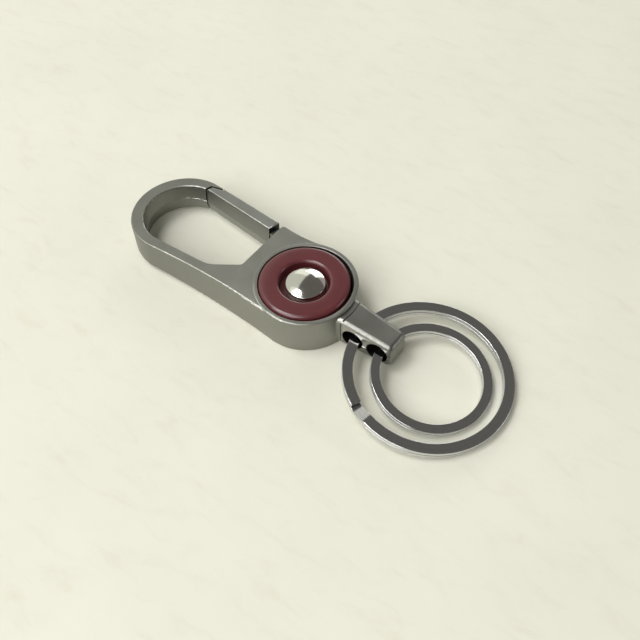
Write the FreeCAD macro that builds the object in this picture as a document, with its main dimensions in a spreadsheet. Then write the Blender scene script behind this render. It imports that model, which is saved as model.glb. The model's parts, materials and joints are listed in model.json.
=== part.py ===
import FreeCAD, Part
import math
import os
import re

import Sketcher
from FreeCAD import Rotation, Vector

# Key holder: a die-cast hook with a sprung gate, a round housing with a spinning ring in it,
# and a tail whose two cross holes carry a large and a small split ring.
# Origin: centre of the housing, on the plane that its flat underside rests on.
# +X runs along the tail towards the split rings, +Y to the gate's side, +Z up. Millimetres.

doc = FreeCAD.newDocument("key_holder")
sheet = doc.addObject("Spreadsheet::Sheet", "sizes")

SIZES = (
    # Housing: a round cup, open at the top
    ("housing_radius", 11.2),
    ("housing_height", 9.1),
    ("housing_wall", 1.05),
    ("floor_thickness", 1.8),
    ("rim_round", 0.3),
    ("bore_round", 0.15),
    # Hook: a round eye on a plate that tapers in height away from the housing
    ("hook_distance", 35.4),
    ("hook_radius", 11.6),
    ("hook_end_height", 6.7),
    ("plate_step", 0.1),
    ("hook_wall", 2.6),
    ("eye_shift", 0.4),
    ("arm_waist_radius", 200.0),
    ("gate_waist_run", 1.48),
    ("gate_waist_depth", 2.0),
    ("arm_wall", 2.55),
    ("bridge_wall", 3.0),
    ("eye_corner_run", 6.1),
    ("eye_corner_rise", 4.1),
    ("eye_corner_round", 6.0),
    ("eye_bridge_round", 1.0),
    ("lug_round", 0.9),
    ("nose_bevel", 4.5),
    ("edge_round", 0.32),
    # Gate: a bar that closes the hook, on a pin in the fork beside the housing
    ("pivot_setback", 1.9),
    ("pivot_depth", 1.557),
    ("gate_base", 1.7),
    ("gate_rear_width", 2.86),
    ("gate_front_width", 2.55),
    ("gate_rear_gap", 1.8),
    ("gate_rear_slant", 0.6),
    ("seam_shift", 0.9),
    ("seam_slant", 0.6),
    ("seam_gap", 0.4),
    ("lap_length", 2.6),
    ("lap_root_depth", 1.1),
    ("lap_tip_depth", 0.45),
    ("lap_gap", 0.12),
    ("lap_end_gap", 0.5),
    ("tongue_half_width", 1.05),
    ("tongue_height", 5.6),
    ("fork_side_gap", 0.1),
    ("fork_end_gap", 0.2),
    ("fork_opening", 2.6),
    ("pin_radius", 0.6),
    ("pin_recess", 0.2),
    ("pin_cover", 0.6),
    ("pin_fit", 0.02),
    ("pin_play", 0.05),
    ("spring_thickness", 0.2),
    ("spring_height", 4.0),
    ("spring_length", 2.3),
    ("spring_gap", 0.05),
    ("spring_pocket", 0.9),
    # Spinning ring and the domed stud that keeps it in the housing
    ("ring_gap", 0.3),
    ("ring_shift_x", 0.19),
    ("ring_shift_y", 0.15),
    ("ring_proud", 0.5),
    ("ring_round", 0.8),
    ("ring_lip_gap", 1.05),
    ("ring_lip_round", 0.55),
    ("ring_head_gap", 0.3),
    ("ring_axial_gap", 0.1),
    ("stud_head_radius", 4.25),
    ("stud_head_thickness", 1.75),
    ("stud_head_sink", 0.15),
    ("stud_dome_height", 0.85),
    ("stud_shank_radius", 1.3),
    ("stud_shank_length", 5.6),
    ("stud_fit", 0.02),
    ("boss_wall", 1.3),
    ("boss_hole_end_gap", 0.3),
    ("bush_wall", 0.8),
    ("bush_fit", 0.02),
    ("bush_play", 0.3),
    ("washer_play", 0.06),
    ("washer_radius", 6.0),
    ("washer_thickness", 0.4),
    # Tail: a tapered block with two cross holes
    ("tail_end_wall", 0.85),
    ("tail_root_width", 7.3),
    ("tail_tip_width", 5.75),
    ("tail_root_base", 0.8),
    ("tail_root_height", 7.55),
    ("tail_tip_base", 1.25),
    ("tail_tip_height", 6.05),
    ("tail_edge_round", 1.2),
    ("collar_width", 0.9),
    ("groove_width", 0.45),
    ("groove_depth", 0.22),
    ("hole_radius", 2.45),
    ("hole_height", 4.27),
    ("hole_setback", 3.45),
    ("hole_wall", 0.95),
    # Split rings: each is one flat wire wound twice
    ("large_ring_radius", 17.5),
    ("large_wire_width", 2.2),
    ("large_wire_thickness", 0.95),
    ("large_ring_hang", 0.45),
    ("small_ring_radius", 12.45),
    ("small_wire_width", 1.95),
    ("small_wire_thickness", 0.85),
    ("small_ring_hang", 0.35),
    ("coil_gap", 0.08),
)

# Sizes that follow from the ones above
DERIVED = (
    ("bore_radius", "housing_radius - housing_wall"),
    ("eye_radius", "hook_radius - hook_wall"),
    ("bridge_distance", "housing_radius + bridge_wall"),
    # The gate's straight side passes the housing's centre at this offset, leaning towards the hook
    ("side_offset", "housing_radius - gate_waist_depth"),
    # The hollow between them ends this run beyond the housing's radius
    ("gate_waist_reach", "housing_radius + gate_waist_run"),
    (
        "gate_waist_radius",
        "(gate_waist_reach ^ 2 + gate_waist_depth ^ 2) / (2 * gate_waist_depth) - housing_radius",
    ),
    ("lean_sine", "(hook_radius - side_offset) / hook_distance"),
    ("lean_cosine", "sqrt(1 - lean_sine ^ 2)"),
    ("pivot_distance", "bridge_distance - pivot_setback"),
    ("pivot_offset", "(side_offset + pivot_distance * lean_sine) / lean_cosine - pivot_depth"),
    ("gate_rear", "bridge_distance + gate_rear_gap"),
    ("gate_inner_rear", "(side_offset + gate_rear * lean_sine) / lean_cosine - gate_rear_width"),
    ("gate_inner_front", "hook_radius - gate_front_width"),
    ("seam_distance", "hook_distance + seam_shift"),
    ("lap_root", "hook_radius - lap_root_depth"),
    ("lap_tip", "hook_radius - lap_tip_depth"),
    ("ring_radius", "bore_radius - ring_gap"),
    ("ring_lip_radius", "stud_head_radius + ring_lip_gap"),
    ("boss_radius", "stud_shank_radius + boss_wall"),
    ("collar_radius", "housing_radius + collar_width"),
    ("hole_distance", "housing_radius + hole_setback"),
    ("hole_pitch", "2 * hole_radius + hole_wall"),
    ("tail_length", "hole_distance + hole_pitch + hole_radius + tail_end_wall"),
)

# Angles, in degrees, and how far each ring hangs aside from the tail's middle line
LARGE_RING_YAW = -2.0
SMALL_RING_YAW = -3.2
LARGE_RAMP_START = 245.0
SMALL_RAMP_START = 172.0
RAMP_ANGLE = 15.0
RAMP_STEPS = 5
LEVEL_LIMIT = 20.0
CLOSE = 1e-6

cells = [(alias, str(value)) for alias, value in SIZES]
cells += [(alias, "=" + formula) for alias, formula in DERIVED]
for row, (alias, content) in enumerate(cells, start=1):
    sheet.set("A%d" % row, alias)
    sheet.setAlias("B%d" % row, alias)
    sheet.set("B%d" % row, content)
doc.recompute()

ALIAS_PATTERN = re.compile(r"\b(%s)\b" % "|".join(alias for alias, content in cells))


def size(alias):
    """The number in the cell with this alias."""
    return float(getattr(sheet, alias))


def bind(item, **expressions):
    """Tie properties to formulas of the sheet's aliases; a double underscore stands for a dot."""
    for prop, text in expressions.items():
        item.setExpression(prop.replace("__", "."), ALIAS_PATTERN.sub(r"sizes.\1", text))


# Derived places, all from the sheet
half_height = size("housing_height") / 2
overrun = size("housing_height")
plate_root_half = half_height - size("plate_step")
plate_end_half = size("hook_end_height") / 2
hook_end = size("hook_distance") + size("hook_radius")
pivot = Vector(-size("pivot_distance"), size("pivot_offset"), 0)


def prism(edges, low, high):
    """A closed outline in the XY plane as a solid between two heights."""
    wire = Part.Wire([edge.toShape() if hasattr(edge, "toShape") else edge for edge in edges])
    face = Part.Face(wire)
    face.translate(Vector(0, 0, low))
    return face.extrude(Vector(0, 0, high - low))


def polygon(points):
    """Straight edges through the points and back to the first."""
    closed = list(points) + [points[0]]
    return [Part.LineSegment(Vector(*first), Vector(*second)) for first, second in zip(closed, closed[1:])]


def arc_middle(centre, radius, first, last):
    """The point halfway along the shorter arc between two points."""
    chord = (first + last) * (1 / 2) - centre
    return centre + chord * (radius / chord.Length)


def arm_waist():
    """The hollow arc on the arm's side, which touches the housing's circle and the hook's."""
    radius = size("arm_waist_radius")
    to_housing = radius + size("housing_radius")
    to_hook = radius + size("hook_radius")
    gap = size("hook_distance")
    along = (to_housing ** 2 - to_hook ** 2 + gap ** 2) / (2 * gap)
    centre = Vector(-along, -math.sqrt(to_housing ** 2 - along ** 2), 0)
    hook_centre = Vector(-gap, 0, 0)
    housing_point = centre * (size("housing_radius") / to_housing)
    hook_point = hook_centre + (centre - hook_centre) * (size("hook_radius") / to_hook)
    return housing_point, arc_middle(centre, radius, housing_point, hook_point), hook_point, centre


def arm_height(x):
    """The Y of that hollow arc at an X."""
    centre = arm_waist()[3]
    return centre.y + math.sqrt(size("arm_waist_radius") ** 2 - (x - centre.x) ** 2)


def gate_side():
    """The gate's side: a straight line that touches the hook's circle, then a hollow arc that
    touches the line and the housing's circle."""
    radius = size("gate_waist_radius")
    along = Vector(size("lean_cosine"), -size("lean_sine"), 0)
    outward = Vector(size("lean_sine"), size("lean_cosine"), 0)
    offset = size("side_offset")
    hook_centre = Vector(-size("hook_distance"), 0, 0)
    hook_point = hook_centre + outward * size("hook_radius")
    to_housing = size("housing_radius") + radius
    reach = math.sqrt(to_housing ** 2 - (offset + radius) ** 2)
    centre = outward * (offset + radius) - along * reach
    line_end = outward * offset - along * reach
    housing_point = centre * (size("housing_radius") / to_housing)
    return housing_point, arc_middle(centre, radius, housing_point, line_end), line_end, hook_point


def tapered_plate():
    """Hook plate without its openings: flat at the housing, thinner towards the hook's end."""
    arm = arm_waist()
    gate = gate_side()
    outline = prism(
        [
            Part.Arc(arm[0], Vector(size("housing_radius"), 0, 0), gate[0]),
            Part.Arc(gate[0], gate[1], gate[2]),
            Part.LineSegment(gate[2], gate[3]),
            Part.Arc(gate[3], Vector(-hook_end, 0, 0), arm[2]),
            Part.Arc(arm[2], arm[1], arm[0]),
        ],
        0,
        size("housing_height"),
    )
    side = [
        (size("housing_radius") + overrun, 0, half_height - plate_root_half),
        (-size("housing_radius"), 0, half_height - plate_root_half),
        (-hook_end, 0, half_height - plate_end_half),
        (-hook_end - overrun, 0, half_height - plate_end_half),
        (-hook_end - overrun, 0, half_height + plate_end_half),
        (-hook_end, 0, half_height + plate_end_half),
        (-size("housing_radius"), 0, half_height + plate_root_half),
        (size("housing_radius") + overrun, 0, half_height + plate_root_half),
    ]
    reach = size("hook_radius") + overrun
    face = Part.Face(Part.Wire([edge.toShape() for edge in polygon(side)]))
    face.translate(Vector(0, -reach, 0))
    return outline.common(face.extrude(Vector(0, 2 * reach, 0)))


def upright_edges(shape, x, y):
    """The edges that stand at a corner of the plan."""

    def near(vertex):
        return math.hypot(vertex.X - x, vertex.Y - y) < size("edge_round")

    return [edge for edge in shape.Edges if all(near(vertex) for vertex in edge.Vertexes)]


def eye_opening():
    """What the hook goes around: a round end, a straight run that touches it and a slanted corner
    at the housing."""
    radius = size("eye_radius")
    centre = Vector(size("eye_shift") - size("hook_distance"), 0, 0)
    top = centre + Vector(0, radius, 0)
    bridge = -size("bridge_distance")
    rear = Vector(bridge, size("gate_inner_rear"), 0)
    corner_x = bridge - size("eye_corner_run")
    corner = Vector(corner_x, arm_height(corner_x) + size("arm_wall"), 0)
    slant_end = Vector(bridge, corner.y + size("eye_corner_rise"), 0)
    sight = corner - centre
    turn = Rotation(Vector(0, 0, 1), -math.degrees(math.acos(radius / sight.Length)))
    touch = centre + turn.multVec(sight) * (radius / sight.Length)
    outline = [
        Part.Arc(touch, centre - Vector(radius, 0, 0), top),
        Part.LineSegment(top, rear),
        Part.LineSegment(rear, slant_end),
        Part.LineSegment(slant_end, corner),
        Part.LineSegment(corner, touch),
    ]
    body = prism(outline, -overrun, size("housing_height") + overrun)
    body = body.makeFillet(size("eye_corner_round"), upright_edges(body, corner.x, corner.y))
    return body.makeFillet(size("eye_bridge_round"), upright_edges(body, bridge, slant_end.y))


def seam():
    """The hook's side of the seam: its foot at the eye, the lap's root and the lap's tip."""
    foot = Vector(-size("seam_distance"), size("gate_inner_front"), 0)
    root = Vector(foot.x + size("seam_slant"), size("lap_root"), 0)
    return foot, root, Vector(root.x + size("lap_length"), size("lap_tip"), 0)


def gate_space():
    """What is cut out of the plate for the gate: the hook keeps a thin lap outside its front end."""
    foot, root, tip = seam()
    outside = size("hook_radius") + overrun
    points = [
        (foot.x, 0),
        (foot.x, foot.y),
        (root.x, root.y),
        (tip.x, tip.y),
        (tip.x, outside),
        (-size("bridge_distance"), outside),
        (-size("bridge_distance"), 0),
    ]
    return prism(polygon([(x, y, 0) for x, y in points]), -overrun, size("housing_height") + overrun)


def nose_bevel():
    """What is cut from below the hook's nose, which rises there to the gate's underside."""
    foot, root, tip = seam()
    start = foot.x - size("nose_bevel")
    side = [
        (start, 0, -overrun),
        (start, 0, half_height - plate_end_half),
        (root.x, 0, size("gate_base")),
        (tip.x, 0, size("gate_base")),
        (tip.x, 0, -overrun),
    ]
    face = Part.Face(Part.Wire([edge.toShape() for edge in polygon(side)]))
    return face.extrude(Vector(0, size("hook_radius") + overrun, 0))


def level_faces(shape):
    """The flat faces that look up or down, the tapered ones too."""
    limit = math.cos(math.radians(LEVEL_LIMIT))
    flat = [face for face in shape.Faces if isinstance(face.Surface, Part.Plane)]
    return [face for face in flat if abs(face.normalAt(0, 0).z) > limit]


def rounded_rims(shape, radius, low_x=None, high_x=None):
    """Round the edges of the level faces, but not a crease between two of them
    and not an edge that lies wholly between the two X values."""
    seen = {}
    for face in level_faces(shape):
        for edge in face.Edges:
            seen.setdefault(edge.hashCode(), []).append(edge)
    edges = []
    for group in seen.values():
        edge = group[0]
        spared = low_x is not None and all(low_x < vertex.X < high_x for vertex in edge.Vertexes)
        if len(group) == 1 and not spared:
            edges.append(edge)
    return shape.makeFillet(radius, edges)


def hook_plate():
    """Hook, arm and bridge in one plate, with its openings cut and its edges rounded."""
    foot, root, tip = seam()
    plate = tapered_plate().cut(eye_opening()).cut(gate_space()).removeSplitter()
    bridge = -size("bridge_distance")
    line_end, hook_point = gate_side()[2:]
    slope = (hook_point.y - line_end.y) / (hook_point.x - line_end.x)
    corner_y = line_end.y + slope * (bridge - line_end.x)
    plate = plate.makeFillet(size("lug_round"), upright_edges(plate, bridge, corner_y))
    margin = size("edge_round")
    plate = rounded_rims(plate, size("edge_round"), foot.x - margin, tip.x + margin)
    return plate.cut(nose_bevel())


def feature(label, shape):
    """A document object that holds a finished shape."""
    item = doc.addObject("Part::Feature", label)
    item.Label = label
    item.Shape = shape
    return item


def primitive(kind, label, place=None, turn=None, **expressions):
    """A Part primitive with its sizes, and its place if given, tied to the sheet."""
    item = doc.addObject("Part::" + kind, label)
    item.Label = label
    if turn is not None:
        item.Placement = FreeCAD.Placement(Vector(0, 0, 0), turn)
    for axis, text in zip("xyz", place or ()):
        if text is not None:
            bind(item, **{"Placement__Base__" + axis: text})
    bind(item, **expressions)
    return item


def joined(label, *items):
    """The items as one."""
    item = doc.addObject("Part::MultiFuse", label)
    item.Label = label
    item.Shapes = list(items)
    return item


def cut(label, base, *tools):
    """The base without the tools."""
    item = doc.addObject("Part::Cut", label)
    item.Label = label
    item.Base = base
    item.Tool = tools[0] if len(tools) == 1 else joined(label + "_tools", *tools)
    return item


def common(label, first, second):
    """What two items share."""
    item = doc.addObject("Part::MultiCommon", label)
    item.Label = label
    item.Shapes = [first, second]
    return item


def dressed(kind, label, base, reach, wanted):
    """A Part::Fillet or Part::Chamfer on the edges of the base that pass a test."""
    doc.recompute()
    item = doc.addObject("Part::" + kind, label)
    item.Label = label
    item.Base = base
    edges = enumerate(base.Shape.Edges, start=1)
    item.Edges = [(number, reach, reach) for number, edge in edges if wanted(edge)]
    return item


def is_circle(edge, radius, height):
    """Whether an edge is a level circle of this radius at this height."""
    return (
        not edge.Degenerated
        and isinstance(edge.Curve, Part.Circle)
        and math.isclose(edge.Curve.Radius, radius, rel_tol=CLOSE)
        and math.isclose(edge.Curve.Center.z, height, rel_tol=CLOSE, abs_tol=CLOSE)
    )


def fork_space():
    """Room for the gate's tongue and its spring between the two ears beside the housing."""
    low = half_height - size("tongue_height") / 2 - size("fork_side_gap")
    high = half_height + size("tongue_height") / 2 + size("fork_side_gap")
    reach = size("tongue_half_width") + size("fork_end_gap")
    outside = size("hook_radius") + overrun
    face_x = -size("bridge_distance") - overrun
    inner = pivot.y - size("fork_opening")
    pocket_x = pivot.x + size("spring_pocket")
    points = [
        (face_x, inner),
        (pocket_x, inner),
        (pocket_x, pivot.y),
        (pivot.x + reach, pivot.y),
        (pivot.x + reach, outside),
        (face_x, outside),
    ]
    body = prism(polygon([(x, y, 0) for x, y in points]), low, high)
    return body.fuse(Part.makeCylinder(reach, high - low, Vector(pivot.x, pivot.y, low)))


def gate_bar():
    """The part of the gate that shows: flush with the plate, with a rebate behind the hook's lap."""
    foot, root, tip = seam()
    gap = Vector(size("seam_gap"), -size("lap_gap"), 0)
    step = Vector(tip.x + size("lap_end_gap"), tip.y - size("lap_gap"), 0)
    rear = -size("gate_rear")
    outside = size("hook_radius") + overrun
    points = [
        (foot.x + gap.x, foot.y),
        (root.x + gap.x, root.y + gap.y),
        (step.x, step.y),
        (step.x, outside),
        (rear + size("gate_rear_slant"), outside),
        (rear + size("gate_rear_slant"), pivot.y + size("tongue_half_width")),
        (rear, size("gate_inner_rear")),
    ]
    outline = polygon([(x, y, 0) for x, y in points])
    bar = prism(outline, size("gate_base"), size("housing_height") + overrun)
    return rounded_rims(tapered_plate().common(bar).removeSplitter(), size("edge_round"))


def gate_tongue():
    """A lower tongue behind the bar, rounded around the pin."""
    low = half_height - size("tongue_height") / 2
    half_width = size("tongue_half_width")
    rear = -size("gate_rear")
    points = [
        (rear, pivot.y - half_width),
        (pivot.x, pivot.y - half_width),
        (pivot.x, pivot.y + half_width),
        (rear, pivot.y + half_width),
    ]
    body = prism(polygon([(x, y, 0) for x, y in points]), low, low + size("tongue_height"))
    return body.fuse(Part.makeCylinder(half_width, size("tongue_height"), Vector(pivot.x, pivot.y, low)))


def leaf_spring():
    """A strip bent back on itself between the fork's wall and the tongue."""
    thickness = size("spring_thickness")
    low_y = pivot.y - size("fork_opening") + size("spring_gap")
    high_y = pivot.y - size("tongue_half_width") - size("spring_gap")
    outer = (high_y - low_y) / 2
    bend = Vector(pivot.x + size("spring_pocket") - size("spring_gap") - outer, low_y + outer, 0)
    start = bend.x + outer - size("spring_length")
    inner = outer - thickness

    def slab(radius):
        block = [
            (start, bend.y - radius, 0),
            (bend.x, bend.y - radius, 0),
            (bend.x, bend.y + radius, 0),
            (start, bend.y + radius, 0),
        ]
        bottom = half_height - size("spring_height") / 2
        straight = prism(polygon(block), bottom, bottom + size("spring_height"))
        return straight.fuse(Part.makeCylinder(radius, size("spring_height"), bend + Vector(0, 0, bottom)))

    return slab(outer).cut(slab(inner))


def make_frame():
    """Hook, housing and tail, cast as one piece."""
    plate = feature("plate", hook_plate())
    cup = primitive("Cylinder", "cup", Radius="housing_radius", Height="housing_height")
    outside = (size("housing_radius"), 0), (size("housing_radius"), size("housing_height"))
    rounded_cup = dressed(
        "Fillet",
        "rounded_cup",
        cup,
        size("rim_round"),
        lambda edge: any(is_circle(edge, radius, height) for radius, height in outside),
    )
    casting = joined("casting", plate, rounded_cup, make_tail())
    bore = primitive(
        "Cylinder",
        "bore",
        place=(None, None, "floor_thickness"),
        Radius="bore_radius",
        Height="2 * housing_height",
    )
    boss = primitive(
        "Cylinder",
        "boss",
        Radius="boss_radius",
        Height="housing_height - stud_head_sink - stud_head_thickness",
    )
    stud_hole_base = (
        "housing_height - stud_head_sink - stud_head_thickness - stud_shank_length - boss_hole_end_gap"
    )
    stud_hole = primitive(
        "Cylinder",
        "stud_hole",
        place=(None, None, stud_hole_base),
        Radius="stud_shank_radius + stud_fit",
        Height="2 * housing_height",
    )
    pin_hole = primitive(
        "Cylinder",
        "pin_hole",
        place=("-pivot_distance", "pivot_offset", "-housing_height"),
        Radius="pin_radius + pin_fit",
        Height="2 * housing_height - plate_step - pin_cover + pin_fit",
    )
    opened = cut("opened", casting, cut("cup_space", bore, boss), stud_hole, pin_hole)
    forked = cut("forked", opened, feature("fork_space", fork_space()))
    return dressed(
        "Fillet",
        "frame",
        forked,
        size("bore_round"),
        lambda edge: is_circle(edge, size("bore_radius"), size("housing_height")),
    )


def tapered_block(label, inset=None):
    """A block from inside the housing's wall to the tail's tip, narrower all round by an inset."""
    less, more = (" - " + inset, " + " + inset) if inset else ("", "")
    half_width = "tail_%s_width / 2" + less
    low = "tail_%s_base" + more
    high = "tail_%s_base + tail_%s_height" + less
    root = "(bore_radius + sqrt(housing_radius ^ 2 - (tail_root_width / 2) ^ 2)) / 2"
    return primitive(
        "Wedge",
        label,
        turn=Rotation(Vector(0, 0, 1), -90),
        Ymin=root,
        Ymax="tail_length",
        Xmin="-(%s)" % (half_width % "root"),
        Xmax=half_width % "root",
        Zmin=low % "root",
        Zmax=high % ("root", "root"),
        X2min="-(%s)" % (half_width % "tip"),
        X2max=half_width % "tip",
        Z2min=low % "tip",
        Z2max=high % ("tip", "tip"),
    )


def make_tail():
    """The tapered tail with a groove behind its collar and two cross holes."""
    block = tapered_block("tail_block")
    doc.recompute()
    root_x = block.Shape.BoundBox.XMin
    rounded = dressed(
        "Fillet",
        "rounded_tail",
        block,
        size("tail_edge_round"),
        lambda edge: any(vertex.X > root_x + size("tail_edge_round") for vertex in edge.Vertexes),
    )
    groove_ring = cut(
        "groove_ring",
        primitive("Cylinder", "groove_outside", Radius="collar_radius + groove_width", Height="housing_height"),
        primitive("Cylinder", "groove_inside", Radius="collar_radius", Height="housing_height"),
    )
    groove = cut("groove", groove_ring, tapered_block("groove_core", "groove_depth"))
    holes = [
        primitive(
            "Cylinder",
            "cross_hole_%d" % (number + 1),
            place=("hole_distance + %d * hole_pitch" % number, "housing_height", "hole_height"),
            turn=Rotation(Vector(1, 0, 0), 90),
            Radius="hole_radius",
            Height="2 * housing_height",
        )
        for number in range(2)
    ]
    return cut("tail", rounded, groove, *holes)


def make_gate():
    """The gate's bar and tongue, with the hole for its pin."""
    shape = gate_bar().fuse(gate_tongue()).removeSplitter()
    hole = Part.makeCylinder(
        size("pin_radius") + size("pin_play"),
        size("housing_height"),
        Vector(pivot.x, pivot.y, 0),
    )
    return feature("gate", shape.cut(hole))


def make_gate_pin():
    """The pin that the gate turns on, covered by the ear above it."""
    return primitive(
        "Cylinder",
        "gate_pin",
        place=("-pivot_distance", "pivot_offset", "plate_step + pin_recess"),
        Radius="pin_radius",
        Height="housing_height - 2 * plate_step - pin_cover - pin_recess",
    )


def turned_body(label, corners):
    """A body revolved about Z from a profile of straight lines; corners are (radius, height) formulas."""
    body = doc.addObject("PartDesign::Body", label)
    body.Label = label
    profile = body.newObject("Sketcher::SketchObject", label + "_profile")
    plane = [item for item in body.Origin.OriginFeatures if item.Role == "XZ_Plane"]
    profile.AttachmentSupport = plane
    profile.MapMode = "FlatFace"
    count = len(corners)
    start = size("housing_radius")
    turns = [2 * math.pi * number / count for number in range(count)]
    spots = [Vector(start * (2 + math.cos(turn)), start * math.sin(turn), 0) for turn in turns]
    for number in range(count):
        profile.addGeometry(Part.LineSegment(spots[number], spots[(number + 1) % count]))
    for number in range(count):
        profile.addConstraint(Sketcher.Constraint("Coincident", number, 2, (number + 1) % count, 1))
    for number, formulas in enumerate(corners):
        for kind, text, value in zip(("DistanceX", "DistanceY"), formulas, spots[number]):
            row = profile.addConstraint(Sketcher.Constraint(kind, -1, 1, number, 1, value))
            bind(profile, **{"Constraints[%d]" % row: text})
    turned = body.newObject("PartDesign::Revolution", label + "_revolution")
    turned.Profile = profile
    turned.ReferenceAxis = (profile, ["V_Axis"])
    turned.Angle = 360
    doc.recompute()
    return body


def round_edges(body, radius, circles):
    """A PartDesign fillet, its radius tied to the sheet, on level circles given as (radius, height)."""
    base = body.Tip
    names = [
        "Edge%d" % number
        for number, edge in enumerate(base.Shape.Edges, start=1)
        if any(is_circle(edge, ring, height) for ring, height in circles)
    ]
    fillet = body.newObject("PartDesign::Fillet", "%s_%s" % (body.Label, radius))
    fillet.Base = (base, names)
    bind(fillet, Radius=radius)
    doc.recompute()


def make_spinner_ring():
    """The coloured ring that spins in the housing, thinner at the bore that runs on the bush.
    It lies aside by its play."""
    bore = "boss_radius + bush_fit + bush_wall + bush_play"
    low = "floor_thickness + washer_thickness + ring_axial_gap"
    high = "housing_height + ring_proud"
    web = "housing_height - stud_head_sink - stud_head_thickness - ring_head_gap"
    body = turned_body(
        "spinner_ring",
        [
            (bore, low),
            ("ring_radius", low),
            ("ring_radius", high),
            ("ring_lip_radius", high),
            ("ring_lip_radius", web),
            (bore, web),
        ],
    )
    top = size("housing_height") + size("ring_proud")
    bottom = size("floor_thickness") + size("washer_thickness") + size("ring_axial_gap")
    round_edges(body, "ring_round", [(size("ring_radius"), top), (size("ring_radius"), bottom)])
    round_edges(body, "ring_lip_round", [(size("ring_lip_radius"), top)])
    bind(body, Placement__Base__x="-ring_shift_x", Placement__Base__y="-ring_shift_y")
    return body


def make_bush():
    """A plain sleeve on the housing's boss."""
    inner = "boss_radius + bush_fit"
    outer = inner + " + bush_wall"
    high = "housing_height - stud_head_sink - stud_head_thickness"
    return turned_body(
        "bearing_bush",
        [(inner, "floor_thickness"), (outer, "floor_thickness"), (outer, high), (inner, high)],
    )


def make_washer():
    """A thin washer that the spinning ring runs on."""
    inner = "boss_radius + bush_fit + bush_wall + washer_play"
    high = "floor_thickness + washer_thickness"
    return turned_body(
        "thrust_washer",
        [
            (inner, "floor_thickness"),
            ("washer_radius", "floor_thickness"),
            ("washer_radius", high),
            (inner, high),
        ],
    )


def make_stud():
    """The polished stud: a shank in the boss and a domed head over the spinning ring's bore."""
    head_low = "housing_height - stud_head_sink - stud_head_thickness"
    shank = primitive(
        "Cylinder",
        "stud_shank",
        place=(None, None, head_low + " - stud_shank_length"),
        Radius="stud_shank_radius",
        Height="stud_shank_length + stud_head_thickness",
    )
    dome_radius = "(stud_head_radius ^ 2 + stud_dome_height ^ 2) / (2 * stud_dome_height)"
    dome = primitive(
        "Sphere",
        "stud_dome",
        place=(None, None, "housing_height - stud_head_sink + stud_dome_height - " + dome_radius),
        Radius=dome_radius,
    )
    head = primitive(
        "Cylinder",
        "stud_head",
        place=(None, None, head_low),
        Radius="stud_head_radius",
        Height="stud_head_thickness + 2 * stud_dome_height",
    )
    return joined("domed_stud", shank, common("domed_head", head, dome))


def sector(inner, outer, low, high, start, angle):
    """A flat ring sector, angles in degrees."""
    base = Vector(0, 0, low)
    up = Vector(0, 0, 1)
    body = Part.makeCylinder(outer, high - low, base, up, angle)
    body = body.cut(Part.makeCylinder(inner, high - low, base, up))
    body.rotate(Vector(0, 0, 0), up, start)
    return body


def ramp(inner, outer, low, thickness, rise, start):
    """The stretch in which the wire climbs from the lower turn to the upper one."""
    sections = []
    for step in range(RAMP_STEPS + 1):
        angle = math.radians(start + RAMP_ANGLE * step / RAMP_STEPS)
        out = Vector(math.cos(angle), math.sin(angle), 0)
        base = low + rise * step / RAMP_STEPS
        bottom = Vector(0, 0, base)
        top = Vector(0, 0, base + thickness)
        corners = [out * inner + bottom, out * outer + bottom, out * outer + top, out * inner + top]
        sections.append(Part.makePolygon(corners + corners[:1]))
    return Part.makeLoft(sections, True, True)


def hang(radius, width, thickness, shift, number, yaw):
    """Where a split ring lies: pulled outward in its hole, with its far edge on the surface below."""
    middle = radius - width / 2 + shift
    half = thickness + size("coil_gap") / 2
    reach = radius + middle
    tilt = math.asin(size("hole_height") / math.hypot(reach, half)) - math.atan2(half, reach)
    hole = Vector(size("hole_distance") + number * size("hole_pitch"), 0, size("hole_height"))
    turn = Rotation(Vector(0, 0, 1), yaw) * Rotation(Vector(0, 1, 0), math.degrees(tilt))
    return FreeCAD.Placement(hole + turn.multVec(Vector(middle, 0, 0)), turn)


def make_split_ring(name, number, ramp_start, yaw):
    """One flat wire wound twice, the two turns joined by a short ramp."""
    radius = size(name + "_ring_radius")
    width = size(name + "_wire_width")
    thickness = size(name + "_wire_thickness")
    inner = radius - width
    half_gap = size("coil_gap") / 2
    rise = thickness + 2 * half_gap
    lower = -half_gap - thickness
    start = ramp_start + RAMP_ANGLE
    angle = 360 - RAMP_ANGLE
    turns = [
        sector(inner, radius, low, low + thickness, start, angle) for low in (lower, lower + rise)
    ]
    shape = turns[0].multiFuse([turns[1], ramp(inner, radius, lower, thickness, rise, ramp_start)])
    item = feature(name + "_split_ring", shape)
    item.Placement = hang(radius, width, thickness, size(name + "_ring_hang"), number, yaw)
    return item


pieces = [
    make_frame(),
    make_gate(),
    make_gate_pin(),
    feature("gate_spring", leaf_spring()),
    make_spinner_ring(),
    make_bush(),
    make_washer(),
    make_stud(),
    make_split_ring("large", 0, LARGE_RAMP_START, LARGE_RING_YAW),
    make_split_ring("small", 1, SMALL_RAMP_START, SMALL_RING_YAW),
]
doc.recompute()

for item in doc.Objects:
    if "Invalid" in item.State or "Error" in item.State:
        raise RuntimeError("%s failed: %s" % (item.Label, item.State))

os.makedirs("parts", exist_ok=True)
for piece in pieces:
    shape = piece.Shape
    if shape.isNull() or not shape.isValid() or len(shape.Solids) != 1:
        raise RuntimeError("%s is not one valid solid" % piece.Label)
    shape.exportStep("parts/%s.step" % piece.Label)
    print("%-18s %9.2f mm3" % (piece.Label, shape.Volume))
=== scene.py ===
import json
import math

import bmesh
import bpy
from mathutils import Matrix, Vector


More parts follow.
